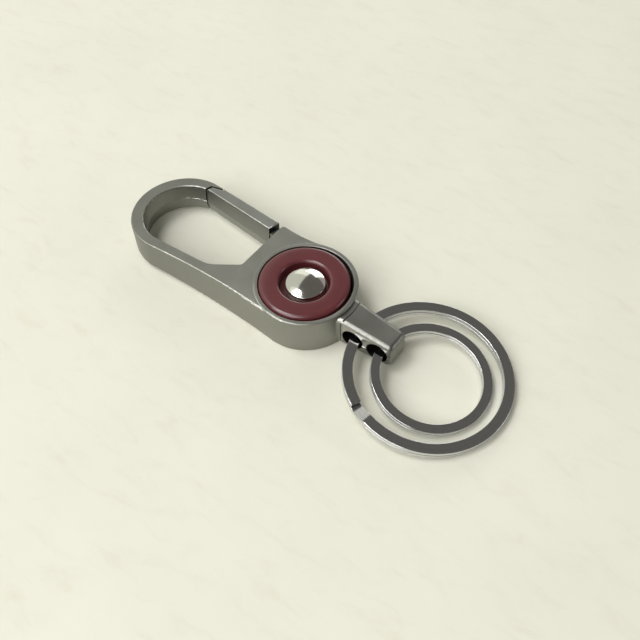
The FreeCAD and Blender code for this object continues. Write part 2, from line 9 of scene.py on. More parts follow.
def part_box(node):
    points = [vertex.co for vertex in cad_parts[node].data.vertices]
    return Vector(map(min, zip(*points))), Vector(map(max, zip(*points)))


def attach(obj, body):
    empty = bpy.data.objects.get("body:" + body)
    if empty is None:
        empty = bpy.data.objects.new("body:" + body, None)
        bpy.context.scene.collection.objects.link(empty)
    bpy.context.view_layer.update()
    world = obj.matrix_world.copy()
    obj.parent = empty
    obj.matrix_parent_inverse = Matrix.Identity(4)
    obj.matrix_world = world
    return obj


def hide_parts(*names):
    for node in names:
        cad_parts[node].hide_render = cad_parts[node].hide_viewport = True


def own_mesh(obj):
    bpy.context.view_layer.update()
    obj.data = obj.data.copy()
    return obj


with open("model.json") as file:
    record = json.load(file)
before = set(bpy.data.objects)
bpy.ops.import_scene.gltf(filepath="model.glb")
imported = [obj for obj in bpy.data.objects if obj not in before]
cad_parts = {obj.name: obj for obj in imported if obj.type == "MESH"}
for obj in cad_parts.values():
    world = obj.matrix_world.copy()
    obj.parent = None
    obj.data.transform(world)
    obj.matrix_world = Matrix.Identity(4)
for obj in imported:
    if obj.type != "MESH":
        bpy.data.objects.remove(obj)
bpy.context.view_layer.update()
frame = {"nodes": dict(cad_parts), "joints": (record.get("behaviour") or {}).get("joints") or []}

bl_info = {
    "name": "Key holder",
    "version": (1, 0, 0),
    "blender": (4, 5, 0),
    "location": "View3D > Sidebar > Key holder",
    "description": "Dresses a hook-shaped key holder with a spinning ring and two split rings",
    "category": "Object",
}

MM = 0.001
WELD = 1e-6
FULL_TURN = 2 * math.pi
AXIS = Vector((0, 0, 1))
ACROSS = Vector((0, 1, 0))
SHARP = math.radians(32)


# --- Settings --------------------------------------------------------------------------------


def linear(code):
    """An sRGB hex colour as linear red, green and blue."""
    channels = [int(code[at:at + 2], 16) / 255 for at in (1, 3, 5)]
    return [c / 12.92 if c <= 0.04045 else ((c + 0.055) / 1.055) ** 2.4 for c in channels]


def length(name, millimetres, description):
    """A length setting, given in millimetres and kept in metres."""
    return bpy.props.FloatProperty(
        name=name,
        description=description,
        default=millimetres * MM,
        min=0.0,
        precision=5,
        unit="LENGTH",
    )


def angle(name, degrees, description):
    """An angle setting, given in degrees and kept in radians."""
    return bpy.props.FloatProperty(
        name=name,
        description=description,
        default=math.radians(degrees),
        unit="ROTATION",
    )


def colour(name, code, description):
    """A colour setting, given as an sRGB hex value."""
    return bpy.props.FloatVectorProperty(
        name=name,
        description=description,
        default=linear(code),
        min=0.0,
        max=1.0,
        size=3,
        subtype="COLOR",
    )


class KeyHolderSizes(bpy.types.PropertyGroup):
    """Sizes of the cast, turned and wound pieces."""

    crease_height: length("Crease height", 4.55, "Height of the mould's parting line on the hook")
    crease_depth: length("Crease depth", 0.42, "How far the parting line stands out of the walls")
    tail_crease_height: length("Tail crease height", 4.2, "Height of the parting line on the tail")
    tail_crease_depth: length("Tail crease depth", 0.28, "How far the line stands out of the tail")
    eye_centre: length("Eye centre", 35.0, "From the housing's centre to the round end's")
    eye_radius: length("Eye radius", 9.0, "Inner radius of the hook's round end")
    bridge: length("Bridge", 14.15, "From the housing's centre to the eye's near end")
    gate_rear: length("Gate rear", 16.0, "From the housing's centre to the gate's rear end")
    tail_start: length("Tail start", 12.4, "From the housing's centre to the tail's sides")
    flash_radius: length("Flash radius", 0.1, "Radius of the beads of flash inside the hook")

    ring_bore: length("Spinning ring bore", 3.72, "Radius of the spinning ring's bore")
    ring_web: length("Spinning ring web", 6.9, "Height of the ring's thin part around its bore")
    ring_lip: length("Spinning ring lip", 5.42, "Inner radius of the spinning ring's raised band")
    ring_outer_round: length("Outer rounding", 0.85, "Radius of the raised band's outer edge")
    ring_lip_round: length("Lip rounding", 0.62, "Radius of the raised band's inner edge")
    ring_crown: length("Crown", 0.05, "How much the raised band is crowned")
    ring_lacquer_gap: length("Lacquer gap", 0.07, "How much slimmer the ring is than its solid")

    stud_dome: length("Dome height", 0.85, "Height of the domed stud's crown")
    stud_head: length("Head thickness", 1.75, "Height of the domed stud's head without its crown")
    stud_shank: length("Shank radius", 1.3, "Radius of the domed stud's shank")
    stud_round: length("Head rounding", 0.12, "Radius of the edge around the crown")

    large_radius: length("Large ring radius", 17.5, "Outer radius of the large split ring")
    large_width: length("Large wire width", 2.2, "Width of the large ring's flat wire")
    large_thickness: length("Large wire thickness", 0.95, "Thickness of the large ring's flat wire")
    large_hang: length("Large ring hang", 0.45, "How far it is pulled outward in its hole")
    large_yaw: angle("Large ring yaw", -2.0, "How far the large ring hangs aside")
    large_joint: angle("Large ring joint", 245.0, "Where the large ring's wire begins to climb")
    small_radius: length("Small ring radius", 12.45, "Outer radius of the small split ring")
    small_width: length("Small wire width", 1.95, "Width of the small ring's flat wire")
    small_thickness: length("Small wire thickness", 0.85, "Thickness of the small ring's flat wire")
    small_hang: length("Small ring hang", 0.35, "How far it is pulled outward in its hole")
    small_yaw: angle("Small ring yaw", -3.2, "How far the small ring hangs aside")
    small_joint: angle("Small ring joint", 172.0, "Where the small ring's wire begins to climb")
    coil_gap: length("Coil gap", 0.08, "Gap between a split ring's two turns")
    wire_round: length("Wire rounding", 0.12, "Radius of the wire's long edges")
    wire_end_round: length("Wire end rounding", 0.12, "Radius of the edges at the wire's two ends")
    climb: angle("Climb", 15.0, "How far round the wire climbs from one turn to the next")
    climb_twist: angle("Climb twist", 12.0, "How far the wire twists halfway up its climb")


class KeyHolderColours(bpy.types.PropertyGroup):
    """Colours of the finishes."""

    casting: colour("Casting", "#90908a", "Satin gunmetal plating on the body")
    gate: colour("Gate", "#959691", "Satin gunmetal plating on the gate")
    # Also paints highlight on the casting's edges, roundings and tail sides, besides worn plating
    rubbed_and_highlight: colour("Rubbed edges", "#c9c7bf", "Plating where hands and pockets have polished it")
    ring: colour("Spinning ring", "#5c272b", "Lacquer on the spinning ring")
    chrome: colour("Chrome", "#dcdad3", "Polished chrome on the domed stud")
    nickel: colour("Nickel", "#d6d6d8", "Nickel plating on the split rings")
    steel: colour("Steel", "#a8a7a3", "Ground steel of the pin and rolled steel of the spring")
    plastic: colour("Plastic", "#171716", "Black plastic of the bush and the washer")
    floor: colour("Floor", "#e1e0d1", "Pale stone that the key holder lies on")
    floor_vein: colour("Floor veins", "#cbc3aa", "Faint veins in the pale stone")


# --- Helpers ---------------------------------------------------------------------------------


def add(tree, kind, inputs=None, **settings):
    """Add a node. Its inputs are values, other nodes' outputs to link, or other nodes, of which
    the first output in use is linked."""
    node = tree.nodes.new(kind)
    for name, value in settings.items():
        setattr(node, name, value)
    for key, value in (inputs or {}).items():
        if isinstance(value, bpy.types.Node):
            value = next(output for output in value.outputs if output.enabled)
        if isinstance(value, bpy.types.NodeSocket):
            tree.links.new(value, node.inputs[key])
        else:
            node.inputs[key].default_value = value
    return node


def new_material(name):
    """A material with an empty tree, and its tree."""
    material = bpy.data.materials.new(name)
    material.use_nodes = True
    material.node_tree.nodes.clear()
    return material, material.node_tree


def rgba(values):
    """A colour setting with full alpha."""
    return [*values, 1.0]


def place_piece(name, bm, material, body, node=None):
    """Turn a bmesh into a piece that rides on a body, and stands for a CAD node if one is given."""
    mesh = bpy.data.meshes.new(name)
    bm.to_mesh(mesh)
    bm.free()
    mesh.materials.append(material)
    piece = bpy.data.objects.new(name, mesh)
    bpy.context.scene.collection.objects.link(piece)
    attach(piece, body)
    if node is not None:
        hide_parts(node)
    return piece


def smooth_but_sharp(bm):
    """Shade the faces smooth, except across edges that bend more than a rounding's steps do."""
    for face in bm.faces:
        face.smooth = True
    for edge in bm.edges:
        edge.smooth = edge.is_manifold and edge.calc_face_angle() < SHARP


def weigh_normals(piece):
    """Let the large flat faces set the shading, so that they stay flat beside roundings."""
    modifier = piece.modifiers.new("flat_faces_first", "WEIGHTED_NORMAL")
    modifier.mode = "FACE_AREA"
    modifier.weight = 100
    modifier.keep_sharp = True


def dress(node, material):
    """Give a CAD node its finish."""
    for slot in frame["nodes"][node].material_slots:
        slot.material = material


# --- Finishes --------------------------------------------------------------------------------


def ramp_product(tree, *ramps):
    """The product of ramps. Each is given as a value, two limits of it and what the ramp is at
    those, which is 0 and 1 where it isn't said."""
    product = None
    for value, first, last, *ends in ramps:
        least, most = ends or (0.0, 1.0)
        ramp = add(
            tree, "ShaderNodeMapRange",
            {"Value": value, "From Min": first, "From Max": last, "To Min": least, "To Max": most},
        )
        if product is not None:
            ramp = add(tree, "ShaderNodeMath", {0: product, 1: ramp}, operation="MULTIPLY")
        product = ramp
    return product


def distance_from_hole(tree, place):
    """How far a place is from the axis of the nearer of the tail's two cross holes."""
    flat = add(tree, "ShaderNodeVectorMath", {0: place, 1: (1, 0, 1)}, operation="MULTIPLY")
    nearest = None
    for joint in frame["joints"]:
        if joint["name"].endswith("ring_swing"):
            x, _, z = joint["pos_m"]
            away = add(
                tree, "ShaderNodeVectorMath", {0: flat, 1: (x, 0, z)}, operation="DISTANCE",
            )
            if nearest is not None:
                away = add(tree, "ShaderNodeMath", {0: nearest, 1: away}, operation="MINIMUM")
            nearest = away
    return nearest


def distance_from_axis(tree, place):
    """How far a place is from the vertical axis through its origin."""
    flat = add(tree, "ShaderNodeVectorMath", {0: place, 1: (1, 1, 0)}, operation="MULTIPLY")
    return add(tree, "ShaderNodeVectorMath", {0: flat}, operation="LENGTH")


# Between these two distances from a cross hole's axis, painted shade inside the hole gives way to
# the full tone
HOLE_WALL = (2.47 * MM, 2.56 * MM)
# Along X, the finish is darkest at the first of these and lightest at the second
DARKER_TOWARDS_HOOK = (-46 * MM, -12 * MM)
# Along X, the tail's finish begins at the first of these and is full at the second
TAIL_ROOT = (11.9 * MM, 12.4 * MM)
# Heights between which the tail's sides get worn plating and painted highlight, and those
# between which that on the roundings ends, below the housing's rim
RUBBED_AND_SHEEN_HALF = (4.1 * MM, 4.4 * MM)
BELOW_RIM = (9.0 * MM, 8.95 * MM)


def plated_casting(name, base, rubbed_and_highlight, shaded_end=0.0):
    """Zinc die casting, fine-blasted and plated in gunmetal: a satin grey with a soft grain and
    slightly clouded gloss, with worn plating and painted highlight along its edges and painted
    shade in its corners and holes. With a shaded end, the flat faces that look along +X are darker
    by that share, as painted shade."""
    material, tree = new_material(name)
    coordinates = add(tree, "ShaderNodeTexCoord")
    place = coordinates.outputs["Object"]
    spot = add(tree, "ShaderNodeSeparateXYZ", {"Vector": place})
    facing = add(tree, "ShaderNodeSeparateXYZ", {"Vector": coordinates.outputs["Normal"]})
    rise = add(tree, "ShaderNodeMath", {0: facing.outputs["Z"]}, operation="ABSOLUTE")
    across = add(tree, "ShaderNodeMath", {0: facing.outputs["Y"]}, operation="ABSOLUTE")
    on_tail = (spot.outputs["X"], *TAIL_ROOT)
    not_level = (rise, 0.985, 0.95)
    cloud = add(
        tree, "ShaderNodeTexNoise",
        {"Vector": place, "Scale": 1 / (6 * MM), "Detail": 3.0, "Roughness": 0.55},
    )
    # A blasted grain is about 0.05 mm; it is drawn at 0.16 mm so that it shows
    grain = add(
        tree, "ShaderNodeTexNoise",
        {"Vector": place, "Scale": 1 / (0.16 * MM), "Detail": 2.0, "Roughness": 0.6},
    )
    chip_and_glint_noise = add(
        tree, "ShaderNodeTexNoise",
        {"Vector": place, "Scale": 1 / (0.7 * MM), "Detail": 3.0, "Roughness": 0.65},
    )

    # Brighter, as worn plating and painted highlight: the edges, where the surface turns within
    # 0.35 mm, the roundings, where it is neither upright nor level, and the upper half of the
    # tail's sides, where the rings rub
    softened = add(tree, "ShaderNodeBevel", {"Radius": 0.35 * MM}, samples=6)
    normal = add(tree, "ShaderNodeNewGeometry").outputs["Normal"]
    bend = add(tree, "ShaderNodeVectorMath", {0: softened, 1: normal}, operation="DOT_PRODUCT")
    wear_and_sheen = add(
        tree, "ShaderNodeMapRange",
        {"Value": bend, "From Min": 0.995, "From Max": 0.90, "To Min": 0.0, "To Max": 0.5},
    )
    # Painted highlight and worn plating on the roundings, broken up, and none at the housing's rim
    rounding = ramp_product(
        tree, (rise, 0.3, 0.5), not_level, (spot.outputs["Z"], *BELOW_RIM), (chip_and_glint_noise, 0.36, 0.72),
        (*on_tail, 1.0, 0.4),
    )
    # Painted highlight and worn plating on the upper half of the tail's sides
    side = ramp_product(tree, (across, 0.8, 0.9), on_tail, (spot.outputs["Z"], *RUBBED_AND_SHEEN_HALF))
    for share in (rounding, side):
        wear_and_sheen = add(tree, "ShaderNodeMath", {0: wear_and_sheen, 1: share}, operation="MAXIMUM")
    wear_and_sheen = ramp_product(tree, (wear_and_sheen, 0.0, 1.0), (cloud, 0.35, 0.6, 0.45, 1.0))
    metal = add(
        tree, "ShaderNodeMix", {"Factor": wear_and_sheen, "A": rgba(base), "B": rgba(rubbed_and_highlight)},
        data_type="RGBA",
    )

    # Darker: painted shade in the corners, on the tail's walls, in its holes and on a shaded end,
    # and a darkening towards the hook's end
    openness = add(
        tree, "ShaderNodeAmbientOcclusion", {"Distance": 3 * MM}, samples=6, only_local=True,
    )
    level = ramp_product(
        tree,
        (cloud, 0.3, 0.7, 0.95, 1.04),
        (grain, 0.3, 0.7, 0.96, 1.04),
        # Painted shade in the corners
        (openness.outputs["AO"], 0.12, 0.62, 0.1, 1.0),
        # Darker towards the hook's end
        (spot.outputs["X"], *DARKER_TOWARDS_HOOK, 0.86, 1.07),
        # Painted shade on the tail's walls and roundings
        (ramp_product(tree, on_tail, not_level), 0.0, 1.0, 1.0, 0.78),
        # Painted shade inside the cross holes
        (distance_from_hole(tree, place), *HOLE_WALL, 0.2, 1.0),
        # Painted shade on a shaded end, on the flat faces that look along +X
        (facing.outputs["X"], 0.8, 0.9, 1.0, 1 - shaded_end),
    )
    tint = add(tree, "ShaderNodeVectorMath", {0: metal, "Scale": level}, operation="SCALE")
    gloss = add(
        tree, "ShaderNodeMapRange",
        {"Value": cloud, "From Min": 0.3, "From Max": 0.7, "To Min": 0.38, "To Max": 0.45},
    )
    polish = add(
        tree, "ShaderNodeMath", {0: wear_and_sheen, 1: -0.12, 2: gloss}, operation="MULTIPLY_ADD",
    )
    bump = add(
        tree, "ShaderNodeBump", {"Height": grain, "Strength": 0.1, "Distance": 0.02 * MM},
    )
    shader = add(
        tree, "ShaderNodeBsdfPrincipled",
        {"Base Color": tint, "Metallic": 1.0, "Roughness": polish, "Normal": bump},
    )
    add(tree, "ShaderNodeOutputMaterial", {"Surface": shader})
    return material


def maroon_lacquer(name, base):
    """Stoved lacquer on turned metal: deep maroon with a satin gloss, a faint orange peel and
    hairline scuffs that run round the ring."""
    material, tree = new_material(name)
    place = add(tree, "ShaderNodeTexCoord").outputs["Object"]
    cloud = add(
        tree, "ShaderNodeTexNoise",
        {"Vector": place, "Scale": 1 / (5 * MM), "Detail": 3.0, "Roughness": 0.5},
    )
    tone = add(
        tree, "ShaderNodeMapRange",
        {"Value": cloud, "From Min": 0.3, "From Max": 0.7, "To Min": 0.92, "To Max": 1.08},
    )
    tint = add(tree, "ShaderNodeVectorMath", {0: base, "Scale": tone}, operation="SCALE")
    peel = add(
        tree, "ShaderNodeTexNoise",
        {"Vector": place, "Scale": 1 / (0.45 * MM), "Detail": 1.0, "Roughness": 0.4},
    )
    scuffs = add(
        tree, "ShaderNodeTexNoise",
        {"W": distance_from_axis(tree, place), "Scale": 1 / (0.22 * MM), "Detail": 2.0},
        noise_dimensions="1D",
    )
    gloss = add(
        tree, "ShaderNodeMapRange",
        {"Value": scuffs, "From Min": 0.3, "From Max": 0.7, "To Min": 0.28, "To Max": 0.36},
    )
    bump = add(tree, "ShaderNodeBump", {"Height": peel, "Strength": 0.08, "Distance": 0.03 * MM})
    shader = add(
        tree, "ShaderNodeBsdfPrincipled",
        {
            "Base Color": tint,
            "Roughness": gloss,
            "IOR": 1.5,
            "Coat Weight": 0.6,
            "Coat Roughness": 0.12,
            "Normal": bump,
        },
    )
    add(tree, "ShaderNodeOutputMaterial", {"Surface": shader})
    return material


def polished_chrome(name, base):
    """Buffed brass under bright chrome: mirror-like, with a few fine wiping scratches and a
    thin haze where fingers have touched it."""
    material, tree = new_material(name)
    place = add(tree, "ShaderNodeTexCoord").outputs["Object"]
    haze = add(
        tree, "ShaderNodeTexNoise",
        {"Vector": place, "Scale": 1 / (2.5 * MM), "Detail": 4.0, "Roughness": 0.6},
    )
    stretched = add(
        tree, "ShaderNodeMapping",
        {"Vector": place, "Rotation": (0, 0, 0.7), "Scale": (1, 12, 1)},
    )
    scratches = add(
        tree, "ShaderNodeTexNoise",
        {"Vector": stretched, "Scale": 1 / (1.2 * MM), "Detail": 3.0, "Roughness": 0.7},
    )
    gloss = add(
        tree, "ShaderNodeMapRange",
        {"Value": haze, "From Min": 0.35, "From Max": 0.75, "To Min": 0.08, "To Max": 0.14},
    )
    tone = add(
        tree, "ShaderNodeMapRange",
        {"Value": scratches, "From Min": 0.3, "From Max": 0.7, "To Min": 0.97, "To Max": 1.02},
    )
    tint = add(tree, "ShaderNodeVectorMath", {0: base, "Scale": tone}, operation="SCALE")
    bump = add(
        tree, "ShaderNodeBump", {"Height": scratches, "Strength": 0.03, "Distance": 0.02 * MM},
    )
    shader = add(
        tree, "ShaderNodeBsdfPrincipled",
        {"Base Color": tint, "Metallic": 1.0, "Roughness": gloss, "Normal": bump},
    )
    add(tree, "ShaderNodeOutputMaterial", {"Surface": shader})
    return material


def nickel_wire(name, base, placement):
    """Flat spring wire, rolled, wound and nickel-plated: bright, with faint drawing lines that
    run round the ring and small dull spots from keys."""
    material, tree = new_material(name)
    place = add(tree, "ShaderNodeTexCoord").outputs["Object"]
    on_ring = add(
        tree, "ShaderNodeMapping",
        {"Vector": place, "Location": placement.translation, "Rotation": placement.to_euler()},
        vector_type="TEXTURE",
    )
    # Drawing lines are finer than 0.05 mm; they are drawn at 0.25 mm so that they show
    lines = add(
        tree, "ShaderNodeTexNoise",
        {"W": distance_from_axis(tree, on_ring), "Scale": 1 / (0.25 * MM), "Detail": 2.0},
        noise_dimensions="1D",
    )
    spots = add(
        tree, "ShaderNodeTexNoise",
        {"Vector": place, "Scale": 1 / (1.6 * MM), "Detail": 4.0, "Roughness": 0.6},
    )
    # Painted shade in the gap between the two turns
    openness = add(
        tree, "ShaderNodeAmbientOcclusion", {"Distance": 0.4 * MM}, samples=6, only_local=True,
    )
    level = ramp_product(
        tree,
        (lines, 0.3, 0.7, 0.94, 1.04),
        (spots, 0.55, 0.75, 1.0, 0.88),
        (openness.outputs["AO"], 0.35, 0.9, 0.25, 1.0),
    )
    tint = add(tree, "ShaderNodeVectorMath", {0: base, "Scale": level}, operation="SCALE")
    gloss = add(
        tree, "ShaderNodeMapRange",
        {"Value": spots, "From Min": 0.4, "From Max": 0.75, "To Min": 0.10, "To Max": 0.19},
    )
    bump = add(tree, "ShaderNodeBump", {"Height": lines, "Strength": 0.05, "Distance": 0.02 * MM})
    shader = add(
        tree, "ShaderNodeBsdfPrincipled",
        {"Base Color": tint, "Metallic": 1.0, "Roughness": gloss, "Normal": bump},
    )
    add(tree, "ShaderNodeOutputMaterial", {"Surface": shader})
    return material


# How many times longer the steel's lines are than they are apart
LINE_STRETCH = 20


def brushed_steel(name, base, along, spacing):
    """Ground or rolled steel: grey, with fine parallel lines that blur its gloss. The lines lie
    along an axis, 0 for X to 2 for Z, and are as far apart as the spacing."""
    material, tree = new_material(name)
    place = add(tree, "ShaderNodeTexCoord").outputs["Object"]
    scale = [1.0, 1.0, 1.0]
    scale[along] = 1 / LINE_STRETCH
    stretched = add(tree, "ShaderNodeMapping", {"Vector": place, "Scale": scale})
    lines = add(
        tree, "ShaderNodeTexNoise",
        {"Vector": stretched, "Scale": 1 / spacing, "Detail": 2.0, "Roughness": 0.6},
    )
    tone = add(
        tree, "ShaderNodeMapRange",
        {"Value": lines, "From Min": 0.3, "From Max": 0.7, "To Min": 0.85, "To Max": 1.08},
    )
    tint = add(tree, "ShaderNodeVectorMath", {0: base, "Scale": tone}, operation="SCALE")
    gloss = add(
        tree, "ShaderNodeMapRange",
        {"Value": lines, "From Min": 0.3, "From Max": 0.7, "To Min": 0.24, "To Max": 0.36},
    )
    bump = add(tree, "ShaderNodeBump", {"Height": lines, "Strength": 0.2, "Distance": 0.01 * MM})
    shader = add(
        tree, "ShaderNodeBsdfPrincipled",
        {"Base Color": tint, "Metallic": 1.0, "Roughness": gloss, "Normal": bump},
    )
    add(tree, "ShaderNodeOutputMaterial", {"Surface": shader})
    return material


def black_acetal(name, base):
    """Moulded black acetal: a waxy, even sheen over a fine tool texture, greyer where worn."""
    material, tree = new_material(name)
    place = add(tree, "ShaderNodeTexCoord").outputs["Object"]
    wear_and_sheen = add(
        tree, "ShaderNodeTexNoise",
        {"Vector": place, "Scale": 1 / (1.5 * MM), "Detail": 3.0, "Roughness": 0.55},
    )
    texture = add(
        tree, "ShaderNodeTexNoise",
        {"Vector": place, "Scale": 1 / (0.12 * MM), "Detail": 1.0},
    )
    tone = add(
        tree, "ShaderNodeMapRange",
        {"Value": wear_and_sheen, "From Min": 0.35, "From Max": 0.75, "To Min": 0.9, "To Max": 1.5},
    )
    tint = add(tree, "ShaderNodeVectorMath", {0: base, "Scale": tone}, operation="SCALE")
    gloss = add(
        tree, "ShaderNodeMapRange",
        {"Value": wear_and_sheen, "From Min": 0.3, "From Max": 0.7, "To Min": 0.38, "To Max": 0.5},
    )
    bump = add(tree, "ShaderNodeBump", {"Height": texture, "Strength": 0.15, "Distance": 0.02 * MM})
    shader = add(
        tree, "ShaderNodeBsdfPrincipled",
        {"Base Color": tint, "Roughness": gloss, "IOR": 1.48, "Normal": bump},
    )
    add(tree, "ShaderNodeOutputMaterial", {"Surface": shader})
    return material


def pale_stone(name, base, vein):
    """Honed cream stone: matt and pale, with soft clouds and faint tan veins and flecks."""
    material, tree = new_material(name)
    place = add(tree, "ShaderNodeTexCoord").outputs["Object"]
    clouds = add(
        tree, "ShaderNodeTexNoise",
        {"Vector": place, "Scale": 1 / (40 * MM), "Detail": 5.0, "Roughness": 0.6},
    )
    leaning = add(
        tree, "ShaderNodeMapping",
        {"Vector": place, "Rotation": (0, 0, -0.6), "Scale": (1.0, 2.6, 1.0)},
    )
    veins = add(
        tree, "ShaderNodeTexNoise",
        {
            "Vector": leaning,
            "Scale": 1 / (9 * MM), "Detail": 6.0, "Roughness": 0.65, "Distortion": 0.6,
        },
    )
    share = add(
        tree, "ShaderNodeMapRange",
        {"Value": veins, "From Min": 0.5, "From Max": 0.78, "To Min": 0.0, "To Max": 0.28},
    )
    mixed = add(
        tree, "ShaderNodeMix",
        {"Factor": share, "A": rgba(base), "B": rgba(vein)}, data_type="RGBA",
    )
    tone = add(
        tree, "ShaderNodeMapRange",
        {"Value": clouds, "From Min": 0.3, "From Max": 0.7, "To Min": 0.975, "To Max": 1.02},
    )
    tint = add(tree, "ShaderNodeVectorMath", {0: mixed, "Scale": tone}, operation="SCALE")
    gloss = add(
        tree, "ShaderNodeMapRange",
        {"Value": veins, "From Min": 0.3, "From Max": 0.7, "To Min": 0.55, "To Max": 0.65},
    )
    bump = add(tree, "ShaderNodeBump", {"Height": veins, "Strength": 0.1, "Distance": 0.05 * MM})
    shader = add(
        tree, "ShaderNodeBsdfPrincipled",
        {"Base Color": tint, "Roughness": gloss, "IOR": 1.45, "Normal": bump},
    )
    add(tree, "ShaderNodeOutputMaterial", {"Surface": shader})
    return material


# --- Cast pieces -----------------------------------------------------------------------------

# A face is upright where its normal rises less than this
UPRIGHT = 0.2
# The eye's middle is this far from its round end's centre, towards the housing. Its walls lie this
# far out along -X and -Y at most, and this far inside the round end's radius along +Y
EYE_MIDDLE = 5 * MM
EYE_END = 46 * MM
EYE_SIDE = 9.2 * MM
EYE_MARGIN = 0.1 * MM
# A point is on the tail's side where its normal leans this far aside, and this far out or more
TAIL_LEAN = 0.5
TAIL_SIDE = 2.4 * MM
# A face is on the gate's inner side where its normal leans this far towards the eye
INWARD_LEAN = 0.8
# How much darker the gate's rear end is painted than its other faces, as painted shade
GATE_END_SHADE = 0.85


def merged_copy(node):
    """A bmesh of a CAD node's triangles, joined into one surface."""
    bm = bmesh.new()
    bm.from_mesh(frame["nodes"][node].data)
    bmesh.ops.remove_doubles(bm, verts=bm.verts, dist=WELD)
    return bm


def crease(bm, height, push):
    """Cut the surface along a level line and move those of the line's points that have a push, as
    a mould's parting line with a little draft above and below it."""
    cut = bmesh.ops.bisect_plane(
        bm, geom=bm.verts[:] + bm.edges[:] + bm.faces[:], dist=WELD / 10,
        plane_co=(0, 0, height), plane_no=AXIS,
    )
    bm.normal_update()
    pushes = {item: push(item) for item in cut["geom_cut"] if isinstance(item, bmesh.types.BMVert)}
    moves = {vert: move for vert, move in pushes.items() if move is not None}
    for vert, move in moves.items():
        bmesh.ops.translate(bm, verts=[vert], vec=move)
    edges = [item for item in cut["geom_cut"] if isinstance(item, bmesh.types.BMEdge)]
    return [edge for edge in edges if all(vert in moves for vert in edge.verts)]


def wall_push(depth, wanted):
    """A push for points: square to those of a point's upright faces that pass a test, if any."""

    def push(vert):
        walls = [face for face in vert.link_faces if abs(face.normal.z) < UPRIGHT and wanted(face)]
        if not walls:
            return None
        normal = sum((face.normal for face in walls), Vector())
        return Vector((normal.x, normal.y, 0)).normalized() * depth

    return push


def finish_casting(name, bm, creases, material, node):
    """Shade a cast piece, keep its parting lines crisp and put it in its node's place."""
    smooth_but_sharp(bm)
    for edge in creases:
        edge.smooth = False
    weigh_normals(place_piece(name, bm, material, node, node))


def cast_body(sizes, colours):
    """The cast body with the parting line's draft on the eye's walls and the tail's sides."""
    bm = merged_copy("frame")
    middle = Vector((-sizes.eye_centre + EYE_MIDDLE, 0, 0))

    def in_eye(face):
        centre = face.calc_center_median()
        along = -EYE_END < centre.x < -sizes.bridge
        aside = -EYE_SIDE < centre.y < sizes.eye_radius - EYE_MARGIN
        return along and aside and face.normal.dot(middle - centre) > 0

    def tail_push(vert):
        leaning = abs(vert.normal.y) >= TAIL_LEAN and abs(vert.co.y) >= TAIL_SIDE
        if vert.co.x < sizes.tail_start or not leaning:
            return None
        return ACROSS * math.copysign(sizes.tail_crease_depth, vert.co.y)

    creases = crease(bm, sizes.crease_height, wall_push(sizes.crease_depth, in_eye))
    creases += crease(bm, sizes.tail_crease_height, tail_push)
    material = plated_casting("satin_gunmetal_casting", colours.casting, colours.rubbed_and_highlight)
    finish_casting("cast_body", bm, creases, material, "frame")
    return material


def cast_gate(sizes, colours):
    """The gate's bar with the parting line's draft on its inner side."""
    bm = merged_copy("gate")

    def on_inner_side(face):
        return face.normal.y < -INWARD_LEAN and face.calc_center_median().x < -sizes.gate_rear

    creases = crease(bm, sizes.crease_height, wall_push(sizes.crease_depth, on_inner_side))
    material = plated_casting("satin_gunmetal_gate", colours.gate, colours.rubbed_and_highlight, GATE_END_SHADE)
    finish_casting("cast_gate", bm, creases, material, "gate")


def leaf_spring(colours):
    """The bent strip beside the gate's tongue, which the tongue presses flat as the gate opens."""
    bm = merged_copy("gate_spring")
    smooth_but_sharp(bm)
    material = brushed_steel("rolled_spring_steel", colours.steel, 0, 0.1 * MM)
    piece = place_piece("bent_leaf_spring", bm, material, "frame", "gate_spring")
    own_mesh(piece)


# Where each bead of flash starts around the eye, and how far it runs, in degrees
FLASH_BEADS = ((97, 9), (109, 13), (125, 8), (136, 13), (163, 2))
FLASH_STEPS = 10
FLASH_SEGMENTS = 8


def mould_flash(sizes, material):
    """Thin beads of flash that the mould left on the hook's inner wall, near the gate's nose."""
    bm = bmesh.new()
    wall = sizes.eye_radius - sizes.crease_depth
    centre = Vector((-sizes.eye_centre, 0, sizes.crease_height))
    upright = Matrix.Rotation(math.pi / 2, 4, "X")
    for first, length_angle in FLASH_BEADS:
        turn = Matrix.Rotation(math.radians(first), 4, "Z")
        place = Matrix.Translation(centre + turn @ Vector((wall, 0, 0))) @ turn @ upright
        bead = bmesh.ops.create_circle(
            bm, segments=FLASH_SEGMENTS, radius=sizes.flash_radius, cap_ends=True, matrix=place,
        )
        section = dict.fromkeys(
            part for vert in bead["verts"] for part in (vert, *vert.link_edges, *vert.link_faces)
        )
        bmesh.ops.spin(
            bm, geom=list(section), cent=centre, axis=AXIS, dvec=(0, 0, 0),
            angle=math.radians(length_angle), steps=FLASH_STEPS,
            use_merge=False, use_duplicate=False,
        )
    bmesh.ops.recalc_face_normals(bm, faces=bm.faces)
    smooth_but_sharp(bm)
    place_piece("mould_flash", bm, material, "frame")


# --- Turned pieces ---------------------------------------------------------------------------

RING_STEPS = 144
ROUND_SEGMENTS = 8
DOME_STEPS = 20
# How far the crown's ridge is rounded, as a share of the band's width
RIDGE_SHARE = 0.2


def round_corner(bm, radius, height, rounding):
    """Round the outline's corner at a radius and height."""
    spot = Vector((radius, 0.0, height))
    corner = min(bm.verts, key=lambda vert: (vert.co - spot).length)
    bmesh.ops.bevel(
        bm, geom=[corner], offset=rounding, offset_type="OFFSET", affect="VERTICES",
        segments=ROUND_SEGMENTS, profile=0.5, material=-1, clamp_overlap=True,
    )


